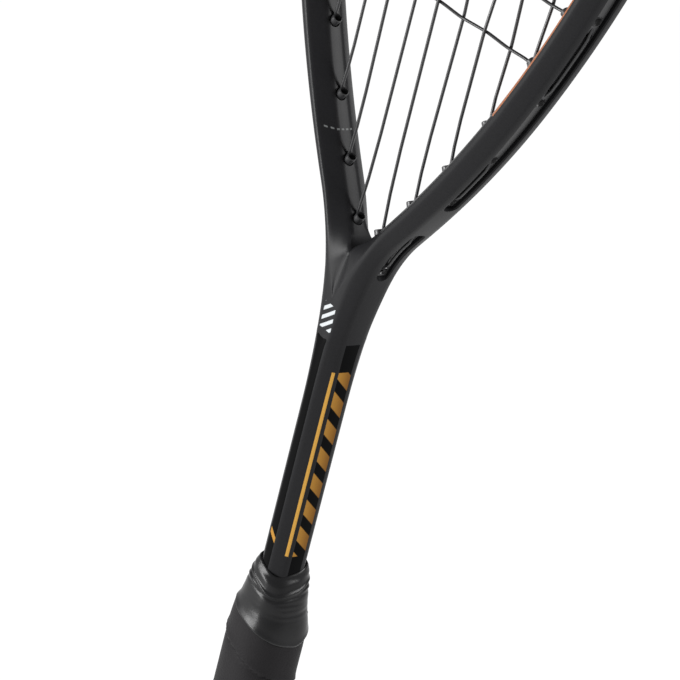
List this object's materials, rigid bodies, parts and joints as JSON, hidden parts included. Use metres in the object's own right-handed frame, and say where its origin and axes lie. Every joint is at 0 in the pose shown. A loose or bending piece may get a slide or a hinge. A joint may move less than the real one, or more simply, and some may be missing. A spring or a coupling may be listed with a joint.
{
  "type": "squash racket",
  "caption": "Squash racket with an open-throat hollow frame, a woven string bed in grommets and a wrapped grip.",
  "frame": {"origin": "centre of the butt face", "axes": "+Z along the racket from the butt to the tip of the head, X across the head in the plane of the strings, -Y the front face"},
  "size_m": [0.2064, 0.0276, 0.685],
  "materials": {
    "carbon_paint": "satin black lacquer over moulded carbon fibre, with a gloss black and gold shaft and copper on the inside of the head",
    "grommet_nylon": "moulded black nylon",
    "string": "black multifilament nylon string with a smooth coat",
    "handle_foam": "moulded rigid polyurethane foam",
    "cap_rubber": "moulded black thermoplastic",
    "gold_paint": "gold lacquer",
    "staple_steel": "bright wire",
    "underlay_film": "double-sided tape",
    "grip_leather": "smooth black polyurethane grip wrap",
    "tape_vinyl": "stretched black finishing tape"
  },
  "bodies": {
    "root": {"frame": "carbon_paint", "throat_insert_left": "grommet_nylon", "throat_insert_right": "grommet_nylon", "side_strip_left": "grommet_nylon", "side_strip_right": "grommet_nylon", "bumper_guard": "grommet_nylon", "main_strings": "string", "cross_strings": "string", "main_string_loops": "string", "cross_string_loops": "string", "tie_off_knots": "string", "shaft_plug": "handle_foam", "handle_pallet_left": "handle_foam", "handle_pallet_right": "handle_foam", "butt_cap": "cap_rubber", "butt_insert": "gold_paint", "butt_staples": "staple_steel", "grip_underlay": "underlay_film", "grip_wrap": "grip_leather", "grip_start_staple": "staple_steel", "finishing_tape": "tape_vinyl"}
  },
  "joints": []
}
